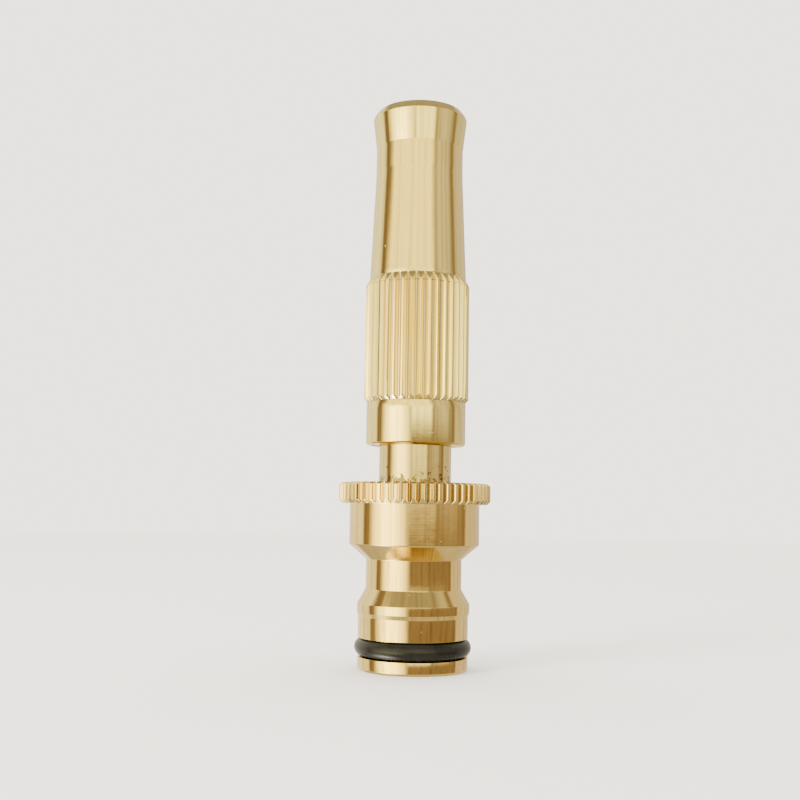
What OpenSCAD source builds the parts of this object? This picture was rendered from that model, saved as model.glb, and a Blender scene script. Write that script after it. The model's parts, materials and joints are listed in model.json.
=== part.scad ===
// Adjustable twist spray nozzle in turned brass, with a quick-connect spigot for a garden hose.
// The axis is Z. The inlet face of the spigot is at z = 0 and the water leaves at the top.
// The sleeve is drawn part open, two turns of its travel thread above the shut position.

/* [Connector] */
// Diameter of the spigot that enters the hose connector
spigot_d = 15.8; // [15.6:0.1:16.0]
// Diameter of the groove that the hose connector's claws grip
catch_d = 13.8; // [13.4:0.1:14.2]
// Diameter of the shoulder between the catch groove and the flange
shoulder_d = 18.8; // [18.2:0.2:19.6]
// Diameter over the ridges of the knurled flange
flange_d = 22.0; // [21.4:0.2:24]
// Number of ridges round the flange
flange_ridges = 55; // [48:1:60]
// Height of the connector from its inlet face to the top of its flange
connector_h = 26.5; // [26.5:0.5:28]
// Diameter of the water inlet
inlet_d = 8.4; // [7.6:0.2:8.8]

/* [Sleeve] */
// Gap between the flange and the sleeve, as drawn
sleeve_gap = 5.5; // [5:0.1:6]
// Length of the sleeve
sleeve_l = 50; // [50:0.5:52]
// Diameter over the ridges of the sleeve's knurl
knurl_d = 15.3; // [15.1:0.1:16]
// Number of ridges round the sleeve
knurl_ridges = 37; // [32:1:44]
// Diameter of the smooth collar below the knurl
collar_d = 14.5; // [14.4:0.1:15]
// Diameter of the waist behind the flared tip
waist_d = 12.9; // [12.8:0.1:13.4]
// Diameter of the flared tip
tip_d = 14.0; // [13.6:0.1:14.6]
// Diameter of the outlet's throat
throat_d = 5.2; // [5.0:0.1:5.6]

/* [Stem] */
// Diameter of the polished neck that shows below the sleeve
stem_neck_d = 10.5; // [10.4:0.1:10.6]
// Diameter of the four water ports in the stem
port_d = 3.0; // [2:0.2:3.2]

/* [Seals] */
// Thickness of the spigot's O-ring
spigot_ring_t = 2.6; // [2.4:0.1:2.6]
// Thickness of the two O-rings that seal the sleeve to the stem
sleeve_ring_t = 1.2; // [1.1:0.1:1.2]
// Thickness of the shut-off O-ring on the spray core
core_ring_t = 1.6; // [1.4:0.1:1.6]

/* [Hidden] */
$fn = 96;

// Colours
BRASS = [0.83, 0.66, 0.36];
PALE_BRASS = [0.87, 0.79, 0.57];
RUBBER = [0.10, 0.11, 0.10];

// Fits
run_gap = 0.08;     // radial clearance of a running fit
thread_gap = 0.10;  // radial clearance between a male thread and its nut
rest_gap = 0.02;    // clearance between a ring and what it lies against

// Levels of the connector, from the inlet face up
ring_z = 3.175;
ring_groove = [1.85, 4.50];
ridge_z = [8.10, 9.30];
catch_z = [11.40, 15.60];
shoulder_z = 17.65;
flange_z = connector_h - 2.95;
flange_knurl_depth = 0.55;
floor_z = 15.5;     // floor of the socket that holds the stem
gasket_t = 1.2;
inlet_throat_r = 3.0;

// Thread that joins the stem to the connector
foot_z = floor_z + gasket_t;
foot_r = 4.6;
foot_depth = 0.5;
foot_pitch = 1.0;
foot_turns = 6;

// Sleeve: its ends, and the levels that its ends set
sleeve_z = connector_h + sleeve_gap;
tip_z = sleeve_z + sleeve_l;
bush_t = 2.0;
pocket_r = 6.5;
pocket_z = sleeve_z + 3.4;
nut_z = sleeve_z + 17.2;
knurl_z = [sleeve_z + 6.0, sleeve_z + 24.6];
knurl_depth = 0.60;
taper_z = sleeve_z + 25.0;
taper_r = knurl_d / 2 - knurl_depth + 0.05;
waist_z = [tip_z - 9.6, tip_z - 5.8];
bore_r = 5.4;
seat_z = [tip_z - 12.0, tip_z - 7.6];
throat_z = tip_z - 5.0;
bell_r = 5.3;

// Travel thread. The stem's screw starts a whole number of turns above the sleeve's, so they mesh.
travel_pitch = 1.5;
screw_r = 6.0;
screw_depth = 0.75;
screw_turns = 3;
nut_turns = 8;
screw_z = pocket_z + 2 * travel_pitch;

// Stem above its screw
seal_z = [sleeve_z + 12.8, sleeve_z + 23.0];
seal_r = 5.3;
stem_ring_z = sleeve_z + 21.6;
tube_r = 4.0;
stem_bore_r = 2.9;
stem_top = tip_z - 16.0;
port_z = stem_top - 7.2;
core_hole_z = stem_top - 4.8; // where the water bore ends and the spray core's thread starts

// Spray core, from its thread to its nose
core_thread_r = 2.6;
core_thread_depth = 0.4;
core_pitch = 0.8;
core_turns = 3;
core_ring_z = tip_z - 13.75;
core_ring_r = 3.6;
nose_top = tip_z - 5.8;

neck_ring_z = pocket_z - sleeve_ring_t / 2 - 0.1;

// Outline of a knurled bar: ridges with flat crests and valleys with a narrow flat floor
function knurl_points(r, depth, ridges, crest) =
    [for (i = [0 : ridges - 1])
        for (k = [[-crest / 2, r], [crest / 2, r], [0.44, r - depth], [0.56, r - depth]])
            let (a = 360 / ridges * (i + k[0])) [k[1] * cos(a), k[1] * sin(a)]];

// Solid ring of round section
module o_ring(t, r) {
    rotate_extrude() translate([r, 0]) circle(d = t, $fn = 48);
}

// Plain disc or bar
module bar(r, z0, z1) {
    translate([0, 0, z0]) cylinder(r = r, h = z1 - z0);
}

// Knurled bar whose ends are bevelled from radius end_r outwards: slopes are each bevel's rise per radius
module knurled_bar(r, depth, ridges, crest, z0, z1, end_r, slopes) {
    reach = r + 1 - end_r;
    intersection() {
        translate([0, 0, z0]) linear_extrude(z1 - z0) polygon(knurl_points(r, depth, ridges, crest));
        rotate_extrude()
            polygon([[0, z0], [end_r, z0], [r + 1, z0 + reach * slopes[0]],
                     [r + 1, z1 - reach * slopes[1]], [end_r, z1], [0, z1]]);
    }
}

// Screw: a bar of radius r - depth from z = 0 to h with one helical ridge that starts at z = pitch / 4.
// The ridge grows from nothing over its first quarter turn and fades over its last.
module screw(r, depth, pitch, turns, h, seg = 32) {
    root = r - depth;
    flank = depth * tan(30);
    crest = pitch * 0.14;
    n = turns * seg;
    function rise(i) = min(1, i / (seg / 4), (n - i) / (seg / 4));
    function at(i, rr, z) = [rr * cos(360 * i / seg), rr * sin(360 * i / seg), z];
    function column(i) =
        let (z = pitch / 4 + pitch * i / seg, top = root + depth * rise(i))
            [at(i, root, z), at(i, top, z + flank), at(i, top, z + flank + crest),
             at(i, root, z + 2 * flank + crest)];
    points = concat([for (i = [0 : n]) each column(i)],
                    [for (i = [0 : seg - 1]) at(i, root, 0)],
                    [for (i = [0 : seg - 1]) at(i, root, h)]);
    bottom = 4 * (n + 1);
    top = bottom + seg;
    function p(i, j) = 4 * i + j;
    function b(i) = bottom + i % seg;
    function t(i) = top + i % seg;
    last = n - seg;
    faces = concat(
        [for (i = [0 : n - 1]) for (j = [0 : 2])
            each [[p(i, j), p(i, j + 1), p(i + 1, j + 1)], [p(i, j), p(i + 1, j + 1), p(i + 1, j)]]],
        [for (i = [0 : last - 1])
            each [[p(i, 3), p(i + seg, 0), p(i + seg + 1, 0)], [p(i, 3), p(i + seg + 1, 0), p(i + 1, 3)]]],
        [for (i = [0 : seg - 2])
            each [[b(i), p(i, 0), p(i + 1, 0)], [b(i), p(i + 1, 0), b(i + 1)]]],
        [[b(seg - 1), p(seg - 1, 0), p(seg, 0), p(0, 3), p(0, 2), p(0, 1), p(0, 0), b(0)]],
        [for (i = [last + 1 : n - 1])
            each [[p(i, 3), t(i), t(i + 1)], [p(i, 3), t(i + 1), p(i + 1, 3)]]],
        [[t(1), p(last + 1, 3), p(last, 3), p(n, 0), p(n, 1), p(n, 2), p(n, 3), t(0)]],
        [[for (i = [0 : seg - 1]) b(i)]],
        [[for (i = [seg - 1 : -1 : 0]) t(i)]]);
    polyhedron(points, faces);
}

// Quick-connect body: spigot, catch groove, shoulder and knurled flange, bored from both ends
module connector_body() {
    spigot_r = spigot_d / 2;
    catch_r = catch_d / 2;
    shoulder_r = shoulder_d / 2;
    groove_r = spigot_r + 0.48 - spigot_ring_t;
    color(BRASS) difference() {
        union() {
            rotate_extrude()
                polygon([[0, 0], [spigot_r - 0.3, 0], [spigot_r, 0.3], [spigot_r, ring_groove[0]],
                         [groove_r, ring_groove[0]], [groove_r, ring_groove[1]],
                         [spigot_r, ring_groove[1]], [spigot_r, ridge_z[0] - 0.6],
                         [spigot_r + 0.2, ridge_z[0]], [spigot_r + 0.2, ridge_z[1]],
                         [catch_r, catch_z[0]], [catch_r, catch_z[1]],
                         [shoulder_r - 0.2, shoulder_z - 0.1], [shoulder_r, shoulder_z + 0.1],
                         [shoulder_r, flange_z + 0.5], [0, flange_z + 0.5]]);
            knurled_bar(flange_d / 2, flange_knurl_depth, flange_ridges, 0.38, flange_z, connector_h,
                        flange_d / 2 - 0.42, [1.1, 0.7]);
        }
        // Water inlet, narrowed under the socket's floor
        rotate_extrude()
            polygon([[0, -1], [inlet_d / 2 + 0.4, -1], [inlet_d / 2 + 0.4, 0], [inlet_d / 2, 0.4],
                     [inlet_d / 2, 13.2], [inlet_throat_r, 14.2], [inlet_throat_r, floor_z], [0, floor_z]]);
        // Threaded socket for the stem's foot
        bar(foot_r + 0.2, floor_z, foot_z + 1.0);
        translate([0, 0, foot_z + 1.0])
            screw(foot_r + thread_gap, foot_depth, foot_pitch, foot_turns, connector_h - 1.2 - foot_z - 1.0);
        bar(foot_r + 0.2, connector_h - 1.2, connector_h + 1);
    }
}

module spigot_o_ring() {
    color(RUBBER) translate([0, 0, ring_z])
        o_ring(spigot_ring_t, spigot_d / 2 + 0.48 - spigot_ring_t / 2 + rest_gap);
}

// Flat washer that the stem's foot presses on the socket's floor
module stem_gasket() {
    color(RUBBER) difference() {
        bar(foot_r, floor_z, foot_z);
        bar(inlet_throat_r, floor_z - 1, foot_z + 1);
    }
}

// Hollow stem: threaded foot, polished neck, travel thread, seal land and ported tube
module stem() {
    neck_r = stem_neck_d / 2;
    ring_r = seal_r + 0.07 - sleeve_ring_t;
    color(BRASS) difference() {
        union() {
            bar(foot_r - foot_depth - 0.1, foot_z, foot_z + 1.0);
            translate([0, 0, foot_z + 1.0])
                screw(foot_r, foot_depth, foot_pitch, foot_turns, connector_h - foot_z - 2.2);
            bar(foot_r - foot_depth - 0.1, connector_h - 1.2, connector_h);
            rotate_extrude()
                polygon([[0, connector_h], [neck_r, connector_h], [neck_r, screw_z - 0.2],
                         [neck_r - 0.2, screw_z], [0, screw_z]]);
            translate([0, 0, screw_z])
                screw(screw_r, screw_depth, travel_pitch, screw_turns, seal_z[0] - screw_z);
            rotate_extrude()
                polygon([[0, seal_z[0]], [screw_r - screw_depth - 0.1, seal_z[0]], [seal_r, seal_z[0] + 0.3],
                         [seal_r, stem_ring_z - sleeve_ring_t / 2 - 0.1],
                         [ring_r, stem_ring_z - sleeve_ring_t / 2 - 0.1],
                         [ring_r, stem_ring_z + sleeve_ring_t / 2 + 0.1],
                         [seal_r, stem_ring_z + sleeve_ring_t / 2 + 0.1],
                         [seal_r, seal_z[1] - 0.4], [tube_r, seal_z[1] + 0.9],
                         [tube_r, stem_top - 0.3], [tube_r - 0.3, stem_top], [0, stem_top]]);
        }
        bar(stem_bore_r, foot_z - 1, core_hole_z);
        translate([0, 0, core_hole_z])
            screw(core_thread_r + thread_gap, core_thread_depth, core_pitch, core_turns,
                  stem_top - 0.6 - core_hole_z, seg = 24);
        bar(core_thread_r + 0.25, stem_top - 0.6, stem_top + 1);
        for (a = [0, 90])
            translate([0, 0, port_z]) rotate([90, 0, a])
                cylinder(d = port_d, h = 2 * tube_r + 2, center = true);
    }
}

module stem_o_ring() {
    color(RUBBER) translate([0, 0, stem_ring_z])
        o_ring(sleeve_ring_t, seal_r + 0.07 - sleeve_ring_t / 2 + rest_gap / 2);
}

// Spray core: screws into the stem's top and carries the shut-off ring and the tapered nose
module spray_core() {
    groove = [core_ring_z - core_ring_t / 2 - 0.05, core_ring_z + core_ring_t / 2 + 0.05];
    groove_r = core_ring_r - core_ring_t / 2 - rest_gap;
    color(PALE_BRASS) difference() {
        union() {
            bar(core_thread_r - core_thread_depth, core_hole_z + 0.2, core_hole_z + 0.8);
            translate([0, 0, core_hole_z])
                screw(core_thread_r, core_thread_depth, core_pitch, core_turns,
                      stem_top - core_hole_z, seg = 24);
            rotate_extrude()
                polygon([[0, stem_top], [tube_r - 0.2, stem_top], [tube_r, stem_top + 0.2],
                         [tube_r, groove[0] - 0.2], [tube_r - 0.2, groove[0]], [groove_r, groove[0]],
                         [groove_r, groove[1]], [3.3, groove[1]], [3.4, groove[1] + 0.1],
                         [3.4, groove[1] + 0.5], [2.2, groove[1] + 2.3], [1.4, nose_top - 0.8],
                         [0.9, nose_top - 0.2], [0.4, nose_top], [0, nose_top]]);
        }
        // Slot across the nose's shoulder, for the tool that screws the core in
        for (s = [-1, 1])
            translate([s * 3.6 - 0.6, -0.4, groove[1] + 0.2]) cube([1.2, 0.8, 3]);
    }
}

module core_o_ring() {
    color(RUBBER) translate([0, 0, core_ring_z]) o_ring(core_ring_t, core_ring_r);
}

module neck_o_ring() {
    color(RUBBER) translate([0, 0, neck_ring_z])
        o_ring(sleeve_ring_t, stem_neck_d / 2 + rest_gap + sleeve_ring_t / 2);
}

// Bush pressed into the sleeve's collar: it keeps the neck ring in and stops the sleeve coming off
module gland_bush() {
    color(PALE_BRASS) difference() {
        bar(pocket_r, sleeve_z + 0.1, sleeve_z + bush_t);
        bar(stem_neck_d / 2 + run_gap, sleeve_z - 1, sleeve_z + bush_t + 1);
    }
}

// Sleeve: smooth collar, knurled grip, tapered body, waist and flared tip, with the outlet's seat inside
module sleeve() {
    collar_r = collar_d / 2;
    waist_r = waist_d / 2;
    tip_r = tip_d / 2;
    throat_r = throat_d / 2;
    knurl_core_r = knurl_d / 2 - knurl_depth - 0.2;
    color(PALE_BRASS) difference() {
        union() {
            rotate_extrude()
                polygon([[0, sleeve_z], [collar_r - 0.25, sleeve_z], [collar_r, sleeve_z + 0.25],
                         [collar_r, knurl_z[0] + 0.2], [knurl_core_r, knurl_z[0] + 0.5],
                         [knurl_core_r, knurl_z[1] - 0.5], [taper_r, knurl_z[1] - 0.3],
                         [taper_r, taper_z], [waist_r, waist_z[0]],
                         [waist_r, waist_z[1]], [tip_r, tip_z - 1.2], [tip_r - 0.15, tip_z - 0.8],
                         [tip_r - 0.75, tip_z], [0, tip_z]]);
            knurled_bar(knurl_d / 2, knurl_depth, knurl_ridges, 0.20, knurl_z[0], knurl_z[1],
                        knurl_core_r + 0.15, [1.2, 1.7]);
        }
        // Pocket for the bush and the neck ring
        bar(pocket_r, sleeve_z - 1, pocket_z);
        // Travel thread
        translate([0, 0, pocket_z])
            screw(screw_r + thread_gap, screw_depth, travel_pitch, nut_turns, nut_z - pocket_z);
        // Seal bore, shut-off seat, throat and bell-shaped outlet
        rotate_extrude()
            polygon([[0, nut_z], [bore_r, nut_z], [bore_r, seat_z[0]], [throat_r, seat_z[1]],
                     [throat_r, throat_z], [bell_r, tip_z - 0.4], [bell_r + 0.3, tip_z],
                     [bell_r + 0.3, tip_z + 1], [0, tip_z + 1]]);
    }
}

connector_body();
spigot_o_ring();
stem_gasket();
stem();
stem_o_ring();
spray_core();
core_o_ring();
neck_o_ring();
gland_bush();
sleeve();
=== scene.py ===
"""Twist spray nozzle in turned brass: visual model, stage, lights and camera.

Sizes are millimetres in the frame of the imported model, with z from the inlet face, unless a comment says
otherwise.
"""
import json
import math
from collections import namedtuple

import bpy
from mathutils import Matrix, Vector


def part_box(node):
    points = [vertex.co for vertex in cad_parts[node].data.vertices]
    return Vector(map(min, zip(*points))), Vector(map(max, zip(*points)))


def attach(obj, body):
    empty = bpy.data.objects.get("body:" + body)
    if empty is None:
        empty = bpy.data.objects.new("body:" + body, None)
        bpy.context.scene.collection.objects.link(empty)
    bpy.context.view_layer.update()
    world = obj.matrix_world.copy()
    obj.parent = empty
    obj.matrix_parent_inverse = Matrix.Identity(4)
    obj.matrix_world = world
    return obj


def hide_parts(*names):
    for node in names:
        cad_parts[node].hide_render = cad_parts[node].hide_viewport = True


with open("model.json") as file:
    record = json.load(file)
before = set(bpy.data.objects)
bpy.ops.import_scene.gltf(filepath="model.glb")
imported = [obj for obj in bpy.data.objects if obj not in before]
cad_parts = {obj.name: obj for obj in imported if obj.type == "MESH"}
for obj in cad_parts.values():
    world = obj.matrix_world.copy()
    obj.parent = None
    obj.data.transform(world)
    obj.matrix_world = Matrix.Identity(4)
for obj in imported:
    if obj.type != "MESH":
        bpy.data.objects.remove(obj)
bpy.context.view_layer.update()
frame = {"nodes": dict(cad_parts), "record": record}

MM = 0.001

# Levels and radii that the frame gives
SLEEVE_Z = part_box("sleeve")[0].z / MM
TIP_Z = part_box("sleeve")[1].z / MM
FLANGE_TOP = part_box("connector_body")[1].z / MM
FLANGE_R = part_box("connector_body")[1].y / MM
GRIP_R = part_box("sleeve")[1].x / MM

# Straight knurls. The crest's width, its eased edge and the place where the floor starts, counted from
# mid-crest, are fractions of a ridge's pitch.
Knurl = namedtuple("Knurl", "ridges radius depth crest ease")
GRIP_KNURL = Knurl(37, GRIP_R, 0.60, 0.20, 0.018)
FLANGE_KNURL = Knurl(55, FLANGE_R, 0.55, 0.38, 0.03)
FLOOR_START = 0.44

# Heights of the two knurled bands
GRIP_LOW, GRIP_HIGH = SLEEVE_Z + 6.0, SLEEVE_Z + 24.6
FLANGE_LOW = FLANGE_TOP - 2.95

# Faces that meet at a smaller angle than this are smooth shaded, in degrees
CREASE = 32
RING_CREASE = 60

# Differences that count as nothing, and the most of either side that a rounded corner takes up, as a share
TINY = 1e-9
CORNER_SHARE = 0.49

# ---------------------------------------------------------------- mesh building


def rounded(points, steps=4):
    """Outline with its corners rounded. Each point is (radius, height) or (radius, height, corner radius)."""
    out = []
    count = len(points)
    for i, point in enumerate(points):
        corner = Vector(point[:2])
        size = point[2] if len(point) > 2 else 0
        before = Vector(points[i - 1][:2]) - corner
        after = Vector(points[(i + 1) % count][:2]) - corner
        if size <= 0 or before.length < TINY or after.length < TINY:
            out.append(tuple(corner))
            continue
        u, v = before.normalized(), after.normalized()
        half = u.angle(v) / 2
        cut = min(size / math.tan(half), before.length * CORNER_SHARE, after.length * CORNER_SHARE)
        radius = cut * math.tan(half)
        centre = corner + (u + v).normalized() * (radius / math.sin(half))
        start, end = corner + u * cut - centre, corner + v * cut - centre
        turn = start.angle_signed(end)
        for k in range(steps + 1):
            spoke = start.copy()
            spoke.rotate(Matrix.Rotation(-turn * k / steps, 2))
            out.append(tuple(centre + spoke))
    return out


def ring_mesh(name, rings, count, crease, knurl_angles=None):
    """Closed mesh of rings round the Z axis. Each ring is (radius, height), or (radii, height) over a knurl.

    Plain rings keep evenly spaced columns, turned to lie near the knurl's, so that their shading is even.
    """
    even = [2 * math.pi * i / count for i in range(count)]
    if knurl_angles:
        shift = sum(a - b for a, b in zip(knurl_angles, even)) / count
        even = [a + shift for a in even]
    verts, faces = [], []
    for radii, height in rings:
        across = isinstance(radii, list)
        for i, angle in enumerate(knurl_angles if across else even):
            r = radii[i] if across else radii
            verts.append((r * math.cos(angle) * MM, r * math.sin(angle) * MM, height * MM))
    for j in range(len(rings)):
        a, b = j * count, (j + 1) % len(rings) * count
        for i in range(count):
            k = (i + 1) % count
            faces.append((a + i, a + k, b + k, b + i))
    mesh = bpy.data.meshes.new(name)
    mesh.from_pydata(verts, [], faces)
    mesh.validate()
    mesh.shade_smooth()
    mesh.set_sharp_from_angle(angle=math.radians(crease))
    piece = bpy.data.objects.new(name, mesh)
    bpy.context.scene.collection.objects.link(piece)
    weighted = piece.modifiers.new("weighted_normals", "WEIGHTED_NORMAL")
    weighted.mode = "FACE_AREA"
    weighted.keep_sharp = True
    return piece


def knurl_columns(knurl):
    """Angles of the mesh columns over a knurl, and each one's place in the pitch (0 is mid-crest)."""
    half, ease = knurl.crest / 2, knurl.ease
    next_half = 1 - half
    floor_end = 1 - FLOOR_START
    places = [-half - ease, -half + ease, 0, half - ease, half + ease]
    places += [half + (FLOOR_START - half) * t for t in (0.35, 0.7)]
    places += [FLOOR_START, 0.5, floor_end]
    places += [floor_end + (next_half - floor_end) * t for t in (0.3, 0.65)]
    angles, where = [], []
    for i in range(knurl.ridges):
        for place in places:
            angles.append(2 * math.pi * (i + place) / knurl.ridges)
            where.append(place)
    return angles, where


def radius_on_chord(angle, a, radius_a, b, radius_b):
    """Distance from the axis, at an angle, of the line between two points given by angle and radius."""
    ax, ay = radius_a * math.cos(a), radius_a * math.sin(a)
    bx, by = radius_b * math.cos(b), radius_b * math.sin(b)
    return (ax * by - ay * bx) / ((ax - bx) * math.sin(angle) - (ay - by) * math.cos(angle))


def knurl_radii(knurl, where):
    """Radius of a knurled bar at each column: flat crests with eased edges, flanks and narrow floors."""
    half = knurl.crest / 2
    floor_r = knurl.radius - knurl.depth
    pitch = 2 * math.pi / knurl.ridges
    out = []
    for place in where:
        p = abs(place if place <= 0.5 else place - 1)
        if p <= half - knurl.ease + TINY:
            out.append(knurl.radius)
        elif p >= FLOOR_START - TINY:
            out.append(floor_r)
        else:
            flank_start, flank_end = half * pitch, FLOOR_START * pitch
            out.append(radius_on_chord(p * pitch, flank_start, knurl.radius, flank_end, floor_r))
    return out


def knurl_band(bar, bevel, start, step, count, least=0):
    """Rings over a knurl, a step apart, cut down to the bevel's radius at their height, not under least."""
    rings = []
    for i in range(count):
        z = start + step * i
        limit = bevel(z)
        rings.append(([max(least, min(r, limit)) for r in bar], z))
    return rings


# ---------------------------------------------------------------- pieces


def build_sleeve():
    """Sleeve: collar, knurled grip, tapered body, waist and flared tip round a stepped bore."""
    foot, low, high, tip = SLEEVE_Z, GRIP_LOW, GRIP_HIGH, TIP_Z
    collar_r, waist_r, flare_r, lip_r = 7.25, 6.45, 7.0, 6.25
    bell_r, throat_r, seal_bore_r, thread_bore_r, bush_bore_r = 5.6, 2.6, 5.4, 6.1, 6.5
    bush_top, thread_top = foot + 3.4, foot + 17.0
    floor_r = GRIP_R - GRIP_KNURL.depth
    body_r, bevel_r = floor_r + 0.05, floor_r - 0.05
    body_start_r = body_r - 0.03
    low_slope, high_slope = 1.2, 1.7
    angles, where = knurl_columns(GRIP_KNURL)
    bar = knurl_radii(GRIP_KNURL, where)

    def bevel(z):
        return min(bevel_r + (z - low) / low_slope, bevel_r + (high - z) / high_slope)

    # The first point closes the collar's outline. It comes again at the end of the bore, so it is dropped
    rings = rounded([(bush_bore_r, foot), (collar_r - 0.25, foot, 0.08), (collar_r, foot + 0.25, 0.12),
                     (collar_r, foot + 5.0)])[1:]
    rings += [(collar_r, low + 0.14), (collar_r - 0.02, low + 0.18), (collar_r - 0.06, low + 0.20)]
    rings += knurl_band(bar, bevel, low + 0.20, 0.06, 12, bevel_r - 0.1)
    rings += knurl_band(bar, bevel, low + 1.0, 2.05, 9, bevel_r)
    rings += knurl_band(bar, bevel, high - 1.3, 0.07, 15, bevel_r)
    rings += knurl_band(bar, bevel, high - 0.30, 0.04, 5, body_start_r)
    body = [(body_start_r, high - 0.12), (body_r, high - 0.06, 0.02), (body_r, foot + 25.0, 2.0)]
    waist = [(waist_r, tip - 9.6, 14.0), (waist_r, tip - 5.8, 0.25)]
    flare = [(flare_r, tip - 1.2, 0.25), (flare_r - 0.15, tip - 0.8, 0.15), (lip_r, tip, 0.12)]
    bell = [(bell_r, tip, 0.08), (bell_r - 0.3, tip - 0.4, 0.1)]
    throat = [(throat_r, tip - 5.0, 0.2), (throat_r, tip - 7.6, 0.1)]
    seal_bore = [(seal_bore_r, tip - 12.0, 0.1), (seal_bore_r, thread_top + 0.2)]
    thread_bore = [(thread_bore_r, thread_top), (thread_bore_r, bush_top)]
    bush_bore = [(bush_bore_r, bush_top), (bush_bore_r, foot)]
    rings += rounded(body + waist + flare + bell + throat + seal_bore + thread_bore + bush_bore, 6)
    return ring_mesh("sleeve_shell", rings, len(angles), CREASE, angles)


def build_connector():
    """Quick-connect body: spigot with ring groove, ridge, catch neck, shoulder and knurled flange."""
    top, low = FLANGE_TOP, FLANGE_LOW
    disc_r, groove_r, ridge_r, neck_r, shoulder_r = 7.9, 5.78, 8.1, 6.9, 9.4
    inlet_r, throat_r, gasket_r, socket_r = 4.2, 3.0, 4.6, 4.8
    chamfer, mouth = 0.3, 0.4
    groove_low, groove_high, gasket_z = 1.85, 4.5, 15.5
    bevel_r = FLANGE_R - 0.42
    low_slope, high_slope = 1.1, 0.7
    angles, where = knurl_columns(FLANGE_KNURL)
    bar = knurl_radii(FLANGE_KNURL, where)

    def bevel(z):
        return min(bevel_r + (z - low) / low_slope, bevel_r + (top - z) / high_slope)

    disc = [(inlet_r + mouth, 0, 0.1), (disc_r - chamfer, 0, 0.06), (disc_r, chamfer, 0.08)]
    groove = [(disc_r, groove_low, 0.05), (groove_r, groove_low, 0.1), (groove_r, groove_high, 0.1),
              (disc_r, groove_high, 0.06)]
    ridge = [(disc_r, 7.5, 0.25), (ridge_r, 8.1, 0.1), (ridge_r, 9.3, 0.12)]
    catch_neck = [(neck_r, 11.4, 0.15), (neck_r, 15.6, 0.12)]
    shoulder = [(shoulder_r - 0.2, 17.55, 0.1), (shoulder_r, 17.75, 0.12), (shoulder_r, low - 0.02, 0.06)]
    flange_underside = [(bevel_r - 0.35, low, 0.02)]
    rings = rounded(disc + groove + ridge + catch_neck + shoulder + flange_underside)
    rings += knurl_band(bar, bevel, low, 0.05, 12)
    rings += knurl_band(bar, bevel, low + 0.8, 0.4, 5)
    rings += knurl_band(bar, bevel, top - 0.36, 0.04, 10)
    socket = [(bevel_r - 0.3, top), (socket_r, top, 0.06), (socket_r, gasket_z + 1.2), (gasket_r, gasket_z)]
    throat = [(throat_r, gasket_z), (throat_r, 14.2, 0.1)]
    inlet = [(inlet_r, 13.2, 0.1), (inlet_r, mouth, 0.05)]
    rings += rounded(socket + throat + inlet)
    return ring_mesh("connector_shell", rings, len(angles), CREASE, angles)


def build_spigot_ring():
    """O-ring with the fine parting line that its mould leaves round the outside."""
    low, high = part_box("spigot_o_ring")
    tube = (high.z - low.z) / 2 / MM
    centre_r, centre_z = high.y / MM - tube, (high.z + low.z) / 2 / MM
    sides, columns, flash = 56, 220, 0.012
    rings = []
    for i in range(sides):
        a = 2 * math.pi * i / sides
        reach = tube if i == 0 else tube - flash
        rings.append((centre_r + reach * math.cos(a), centre_z + tube * math.sin(a)))
    return ring_mesh("spigot_ring", rings, columns, RING_CREASE)


# ---------------------------------------------------------------- materials

Coordinates = namedtuple("Coordinates", "place turned radius x y z")

# Dark brown painted into the roots of the knurls as shade
ROOT_SHADE = (0.38, 0.32, 0.20)
DIRT = (0.22, 0.15, 0.06)
RUBBER_BLACK = (0.007, 0.0075, 0.006)
RUBBER_BLOOM = (0.016, 0.016, 0.012)
RUBBER_DUST = (0.10, 0.095, 0.08)


def darker(colour, share):
    return tuple(c * share for c in colour)


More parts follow.
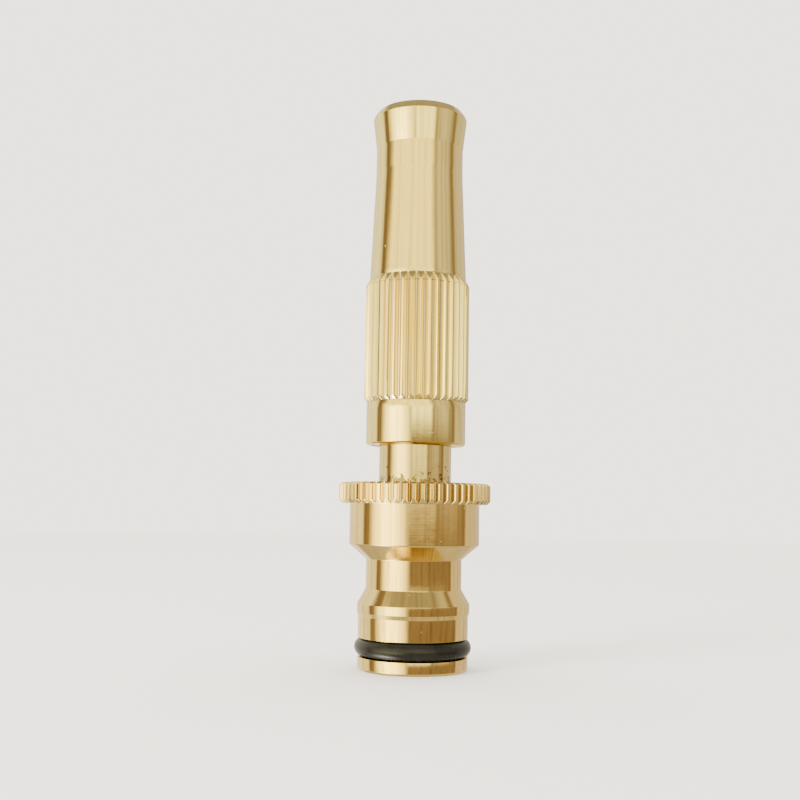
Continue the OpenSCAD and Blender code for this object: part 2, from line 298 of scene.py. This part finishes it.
class Nodes:
    """Short names for making shader nodes."""

    def __init__(self, tree):
        self.tree = tree

    def add(self, kind, **values):
        node = self.tree.nodes.new(kind)
        for key, value in values.items():
            setattr(node, key, value)
        return node

    def link(self, a, b):
        self.tree.links.new(a, b)

    def fill(self, sockets, values):
        """Link or set each socket. A value is a socket, a number, a colour, or None for no change."""
        for socket, value in zip(sockets, values):
            if isinstance(value, tuple):
                socket.default_value = (*value, 1)
            elif isinstance(value, (int, float)):
                socket.default_value = value
            elif value is not None:
                self.link(value, socket)

    def math(self, operation, a, b=None, clamp=False):
        node = self.add("ShaderNodeMath", operation=operation, use_clamp=clamp)
        self.fill(node.inputs, (a, b))
        return node.outputs[0]

    def join(self, x, y, z=None):
        node = self.add("ShaderNodeCombineXYZ")
        self.fill(node.inputs, (x, y, z))
        return node.outputs[0]

    def split(self, vector):
        node = self.add("ShaderNodeSeparateXYZ")
        self.link(vector, node.inputs[0])
        return node.outputs

    def noise(self, vector, scale, detail, rough):
        """Noise between 0 and 1. The scale is in features per metre of the vector."""
        node = self.add("ShaderNodeTexNoise")
        node.inputs["Scale"].default_value = scale
        node.inputs["Detail"].default_value = detail
        node.inputs["Roughness"].default_value = rough
        self.link(vector, node.inputs["Vector"])
        return node.outputs["Fac"]

    def ramp(self, factor, stops):
        """Grey ramp with stops of (place, value)."""
        node = self.add("ShaderNodeValToRGB")
        elements = node.color_ramp.elements
        while len(elements) < len(stops):
            elements.new(0.5)
        for element, (place, value) in zip(elements, stops):
            element.position = place
        for element, (place, value) in zip(elements, stops):
            element.color = (value, value, value, 1)
        self.link(factor, node.inputs["Fac"])
        return node.outputs["Color"]

    def mix(self, factor, a, b, blend="MIX"):
        node = self.add("ShaderNodeMix", data_type="RGBA", blend_type=blend)
        self.fill([socket for socket in node.inputs if socket.enabled], (factor, a, b))
        return [socket for socket in node.outputs if socket.enabled][0]

    def bumps(self, layers):
        """Normal of a chain of bumps. Each layer is (height, depth in mm, True where high cuts in)."""
        normal = None
        for height, depth, cuts_in in layers:
            bump = self.add("ShaderNodeBump", invert=cuts_in)
            bump.inputs["Strength"].default_value = 1.0
            bump.inputs["Distance"].default_value = depth * MM
            self.link(height, bump.inputs["Height"])
            if normal:
                self.link(normal, bump.inputs["Normal"])
            normal = bump.outputs["Normal"]
        return normal

    def share(self, value, start, span):
        """How far a value has gone from a start over a span, from 0 to 1."""
        return self.math("DIVIDE", self.math("SUBTRACT", value, start), span, clamp=True)


def new_material(name):
    material = bpy.data.materials.new(name)
    material.use_nodes = True
    return material, Nodes(material.node_tree), material.node_tree.nodes["Principled BSDF"]


def piece_coordinates(n):
    """Place on the piece in metres, and what is worked out from it.

    Noise read from turned makes rings, because it hardly changes round the axis.
    """
    place = n.add("ShaderNodeTexCoord").outputs["Object"]
    x, y, z = n.split(place)
    radius = n.math("SQRT", n.math("ADD", n.math("MULTIPLY", x, x), n.math("MULTIPLY", y, y)))
    turned = n.join(radius, z, n.math("MULTIPLY", x, 0.02))
    return Coordinates(place, turned, radius, x, y, z)


def knurl_root_shade(n, at, colour, knurl, reach, low, high):
    """Painted shade in the roots of a knurl between two heights, fading out over a reach above the floor."""
    top = (knurl.radius - knurl.depth + reach) * MM
    depth = n.math("DIVIDE", n.math("SUBTRACT", top, at.radius), reach * MM, clamp=True)
    inside = n.math("MULTIPLY", n.math("GREATER_THAN", at.z, low * MM), n.math("LESS_THAN", at.z, high * MM))
    cover = n.math("MULTIPLY", depth, n.math("MULTIPLY", inside, 0.75))
    return n.mix(cover, colour, ROOT_SHADE)


# Painted shade in the roots of the grip's knurl
def sleeve_root_shade(n, at, colour):
    return knurl_root_shade(n, at, colour, GRIP_KNURL, 0.36, GRIP_LOW + 0.1, GRIP_HIGH - 0.3)


# Painted shade in the roots of the flange's knurl
def connector_root_shade(n, at, colour):
    return knurl_root_shade(n, at, colour, FLANGE_KNURL, 0.40, FLANGE_LOW + 0.05, FLANGE_TOP)


def stem_stain(n, at, colour):
    """Blots of dirt at the stem's foot, fewer higher up, and one wedge-shaped mark left of the front."""
    foot, blot_height = FLANGE_TOP * MM, 5.0 * MM
    mark_x, mark_half_width, mark_height = -1.9 * MM, 0.9 * MM, 1.2 * MM
    height = n.share(at.z, foot, blot_height)
    blot = n.noise(at.place, scale=1300, detail=4, rough=0.6)
    mask = n.math("SUBTRACT", n.math("MULTIPLY", blot, 1.35), n.math("MULTIPLY", height, 0.5))
    colour = n.mix(n.ramp(mask, [(0.62, 0.0), (0.70, 0.9)]), colour, DIRT)
    aside = n.math("DIVIDE", n.math("ABSOLUTE", n.math("SUBTRACT", at.x, mark_x)), mark_half_width)
    above = n.math("DIVIDE", n.math("SUBTRACT", at.z, foot), mark_height)
    mark = n.math("SUBTRACT", n.math("SUBTRACT", n.math("ADD", 1.0, blot), aside), above)
    mark = n.math("MULTIPLY", n.math("GREATER_THAN", mark, 0.5), n.math("LESS_THAN", at.y, 0.0))
    return n.mix(n.math("MULTIPLY", mark, 0.85), colour, darker(DIRT, 0.4))


def brass(name, tint, deep, roughness, ring_depth, dirt_and_root_shade):
    """Turned brass: rings from the tool, faint tarnish and finger marks, nicks, and a piece's own dirt (stem)
    or painted shade in its knurl roots (sleeve, connector).
    """
    material, n, shader = new_material(name)
    at = piece_coordinates(n)
    patches = n.noise(at.place, scale=160, detail=5, rough=0.6)
    colour = n.mix(n.ramp(patches, [(0.42, 0.0), (0.72, 0.55)]), tint, deep)
    specks = n.noise(at.place, scale=2600, detail=2, rough=0.5)
    colour = n.mix(n.ramp(specks, [(0.70, 0.0), (0.76, 0.5)]), colour, darker(deep, 0.55))
    # Adds the stem's dirt, or painted shade in the knurl roots of the sleeve and connector
    n.link(dirt_and_root_shade(n, at, colour), shader.inputs["Base Color"])
    rings = n.noise(at.turned, scale=5200, detail=3, rough=0.65)
    smears = n.noise(at.place, scale=420, detail=4, rough=0.6)
    uneven = n.math("ADD", n.math("MULTIPLY", rings, 0.07), n.math("MULTIPLY", smears, 0.10))
    n.link(n.math("ADD", uneven, roughness - 0.085), shader.inputs["Roughness"])
    dents = n.noise(at.place, scale=600, detail=3, rough=0.5)
    nicks = n.ramp(n.noise(at.place, scale=1500, detail=2, rough=0.4), [(0.75, 0.0), (0.79, 1.0)])
    n.link(n.bumps([(rings, ring_depth, False), (dents, 0.006, False), (nicks, 0.012, True)]),
           shader.inputs["Normal"])
    shader.inputs["Metallic"].default_value = 1.0
    # Lathe marks run round the piece, so they stretch highlights along it
    shader.inputs["Anisotropic"].default_value = 0.6
    shader.inputs["Anisotropic Rotation"].default_value = 0.25
    tangent = n.add("ShaderNodeTangent", direction_type="RADIAL", axis="Z")
    n.link(tangent.outputs[0], shader.inputs["Tangent"])
    return material


def rubber(name):
    """Moulded rubber with a faint bloom, specks of dust and a fine matt texture."""
    material, n, shader = new_material(name)
    place = n.add("ShaderNodeTexCoord").outputs["Object"]
    bloom = n.ramp(n.noise(place, scale=300, detail=5, rough=0.6), [(0.4, 0.0), (0.75, 1.0)])
    dust = n.ramp(n.noise(place, scale=3200, detail=2, rough=0.5), [(0.72, 0.0), (0.78, 0.6)])
    colour = n.mix(dust, n.mix(bloom, RUBBER_BLACK, RUBBER_BLOOM), RUBBER_DUST)
    n.link(colour, shader.inputs["Base Color"])
    shader.inputs["Specular IOR Level"].default_value = 0.25
    n.link(n.math("ADD", n.math("MULTIPLY", bloom, 0.14), 0.22), shader.inputs["Roughness"])
    texture = n.noise(place, scale=5000, detail=3, rough=0.6)
    n.link(n.bumps([(texture, 0.006, False)]), shader.inputs["Normal"])
    return material


def finish_with(piece, material):
    piece.data.materials.clear()
    piece.data.materials.append(material)


# ---------------------------------------------------------------- assembly

materials = {}
# The last entry of each row is painted shade in the knurl roots for the sleeve and connector, and dirt for
# the stem
for name, clean, tarnished, roughness, ring_depth, dirt_and_root_shade in (
        ("sleeve_brass", (0.89, 0.73, 0.24), (0.83, 0.64, 0.18), 0.08, 0.0009, sleeve_root_shade),
        ("connector_brass", (0.89, 0.67, 0.21), (0.82, 0.57, 0.16), 0.09, 0.0016, connector_root_shade),
        ("stem_brass", (0.78, 0.61, 0.20), (0.68, 0.51, 0.16), 0.12, 0.0016, stem_stain)):
    materials[name] = brass(name, clean, tarnished, roughness, ring_depth, dirt_and_root_shade)
materials["seal_rubber"] = rubber("seal_rubber")

for build, node, body, slot in ((build_sleeve, "sleeve", "sleeve", "sleeve_brass"),
                                (build_connector, "connector_body", "base", "connector_brass"),
                                (build_spigot_ring, "spigot_o_ring", "base", "seal_rubber")):
    piece = build()
    finish_with(piece, materials[slot])
    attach(piece, body)
    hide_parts(node)

for part in frame["record"]["subparts"]:
    for material_slot in frame["nodes"][part["node"]].material_slots:
        material_slot.material = materials[part["material_slot"]]

# ---------------------------------------------------------------- stage

# Soft-edged areas of the studio that the brass mirrors: a window at the front left, pale cards and dim gaps.
# Each is (name, from and to in degrees round the nozzle with the camera at 0 and right positive, width of its
# soft side edges in degrees, lowest and highest sine of the elevation, colour). Limits past the whole range
# leave no edge there. Later areas lie over earlier ones.
STUDIO_AREAS = (
    ("left_wall", -200, -98, 8, -1.2, 1.2, (0.26, 0.24, 0.19)),
    ("right_wall", 98, 200, 5, -1.2, 1.2, (0.15, 0.13, 0.11)),
    ("window", -88, -8, 32, -1.2, 0.34, (1.00, 0.88, 0.50)),
    ("front_card", -14, 40, 6, -0.02, 0.34, (0.46, 0.43, 0.27)),
    ("side_card", 36, 92, 14, -0.04, 1.2, (0.16, 0.14, 0.11)),
    ("upper_window", -82, 42, 14, 0.14, 1.2, (0.40, 0.342, 0.175)),
    ("ceiling", -400, 400, 1, 0.60, 1.2, (0.08, 0.07, 0.06)),
    ("under", -400, 400, 1, -1.5, -0.40, (0.12, 0.105, 0.085)),
)
LEVEL_EDGE = 0.10
DIM_ROOM = (0.054, 0.038, 0.028)
BACKDROP = (0.450, 0.425, 0.375)
STUDIO_STRENGTH = 7.0

# Small lamp low at the left that makes the O-ring's highlight: direction, tightness, colour
LOW_LAMP = ((-0.60, -0.10, -0.794), 40, (3.6, 3.5, 3.2))


def build_floor():
    """Pale table top that fades out far away, so it has no edge. Sizes are metres."""
    radius, steps = 1.6, 64
    drop = -0.02 * MM
    verts = [(0, 0, drop)]
    for i in range(steps):
        angle = 2 * math.pi * i / steps
        verts.append((radius * math.cos(angle), radius * math.sin(angle), drop))
    faces = [(0, 1 + i, 1 + (i + 1) % steps) for i in range(steps)]
    mesh = bpy.data.meshes.new("floor")
    mesh.from_pydata(verts, [], faces)
    floor = bpy.data.objects.new("floor", mesh)
    bpy.context.scene.collection.objects.link(floor)
    material, n, shader = new_material("floor_paper")
    place = n.add("ShaderNodeTexCoord").outputs["Object"]
    grain = n.noise(place, scale=900, detail=4, rough=0.6)
    n.link(n.mix(grain, (0.82, 0.80, 0.77), (0.84, 0.825, 0.80)), shader.inputs["Base Color"])
    shader.inputs["Roughness"].default_value = 0.8
    length = n.add("ShaderNodeVectorMath", operation="LENGTH")
    n.link(place, length.inputs[0])
    fade_end, fade_span = 1.0, 0.85
    fade = n.math("DIVIDE", n.math("SUBTRACT", fade_end, length.outputs["Value"]), fade_span, clamp=True)
    n.link(fade, shader.inputs["Alpha"])
    finish_with(floor, material)
    floor.visible_glossy = False


def build_world():
    """Soft studio surround made of a few plain areas, behind a pale backdrop that only the camera sees."""
    world = bpy.data.worlds.new("studio")
    bpy.context.scene.world = world
    world.use_nodes = True
    n = Nodes(world.node_tree)
    background = world.node_tree.nodes["Background"]
    direction = n.add("ShaderNodeTexCoord").outputs["Generated"]
    x, y, z = n.split(direction)
    turn = n.math("DEGREES", n.math("ARCTAN2", x, n.math("MULTIPLY", y, -1)))

    def between(value, low, high, edge):
        fall = n.math("DIVIDE", n.math("SUBTRACT", high, value), edge, clamp=True)
        return n.math("MULTIPLY", n.share(value, low, edge), fall)

    surround = DIM_ROOM
    for name, start, end, edge, low, high, colour in STUDIO_AREAS:
        inside = n.math("MULTIPLY", between(turn, start, end, edge), between(z, low, high, LEVEL_EDGE))
        surround = n.mix(inside, surround, colour)
    stripes = n.join(n.math("DIVIDE", turn, 360), n.math("MULTIPLY", z, 0.05))
    clutter = n.noise(stripes, scale=46, detail=3, rough=0.65)
    clutter = n.ramp(clutter, [(0.34, 0.64), (0.50, 1.0), (0.68, 1.12)])
    surround = n.mix(1.0, surround, clutter, "MULTIPLY")
    aim, tightness, colour = LOW_LAMP
    glint = n.add("ShaderNodeVectorMath", operation="DOT_PRODUCT")
    n.link(direction, glint.inputs[0])
    glint.inputs[1].default_value = aim
    spot = n.math("POWER", n.math("MAXIMUM", glint.outputs["Value"], 0.0), tightness)
    surround = n.mix(spot, surround, colour)
    rays = n.add("ShaderNodeLightPath")
    n.link(n.mix(rays.outputs["Is Camera Ray"], surround, BACKDROP), background.inputs["Color"])
    background.inputs["Strength"].default_value = STUDIO_STRENGTH


def add_window(name, place, width, height, watts, colour):
    """Soft rectangular lamp aimed at the nozzle, in metres. The brass mirrors the surround, not the lamp."""
    light = bpy.data.lights.new(name, "AREA")
    light.shape = "RECTANGLE"
    light.size, light.size_y = width, height
    light.energy = watts
    light.color = colour
    lamp = bpy.data.objects.new(name, light)
    bpy.context.scene.collection.objects.link(lamp)
    lamp.location = place
    aim = Vector((0, 0, 0.03))
    lamp.rotation_euler = (aim - lamp.location).to_track_quat("-Z", "Y").to_euler()
    lamp.visible_glossy = False


def build_camera():
    """Camera low in front, tipped up and rolled so that the nozzle leans to the right. In metres."""
    distance, height, aside = 0.1608, 0.0223, -0.00237
    pitch, roll = math.radians(5.83), math.radians(0.94)
    sensor_mm, lens_mm, nearest = 36, 49.5, 0.005
    data = bpy.data.cameras.new("camera")
    data.sensor_width, data.lens = sensor_mm, lens_mm
    data.clip_start = nearest
    camera = bpy.data.objects.new("camera", data)
    bpy.context.scene.collection.objects.link(camera)
    forward = Vector((0, math.cos(pitch), math.sin(pitch)))
    up = Vector((0, -math.sin(pitch), math.cos(pitch)))
    side = Vector((1, 0, 0))
    rolled_side = side * math.cos(roll) + up * math.sin(roll)
    rolled_up = up * math.cos(roll) - side * math.sin(roll)
    turn = Matrix((rolled_side, rolled_up, -forward)).transposed().to_4x4()
    camera.matrix_world = Matrix.Translation((aside, -distance, height)) @ turn
    bpy.context.scene.camera = camera


build_floor()
build_world()
add_window("window", (-0.42, -0.36, 0.30), 0.22, 0.30, 5.0, (1.0, 0.975, 0.94))
add_window("ceiling", (0.0, 0.25, 1.10), 1.6, 1.6, 52.0, (1.0, 0.985, 0.96))
build_camera()
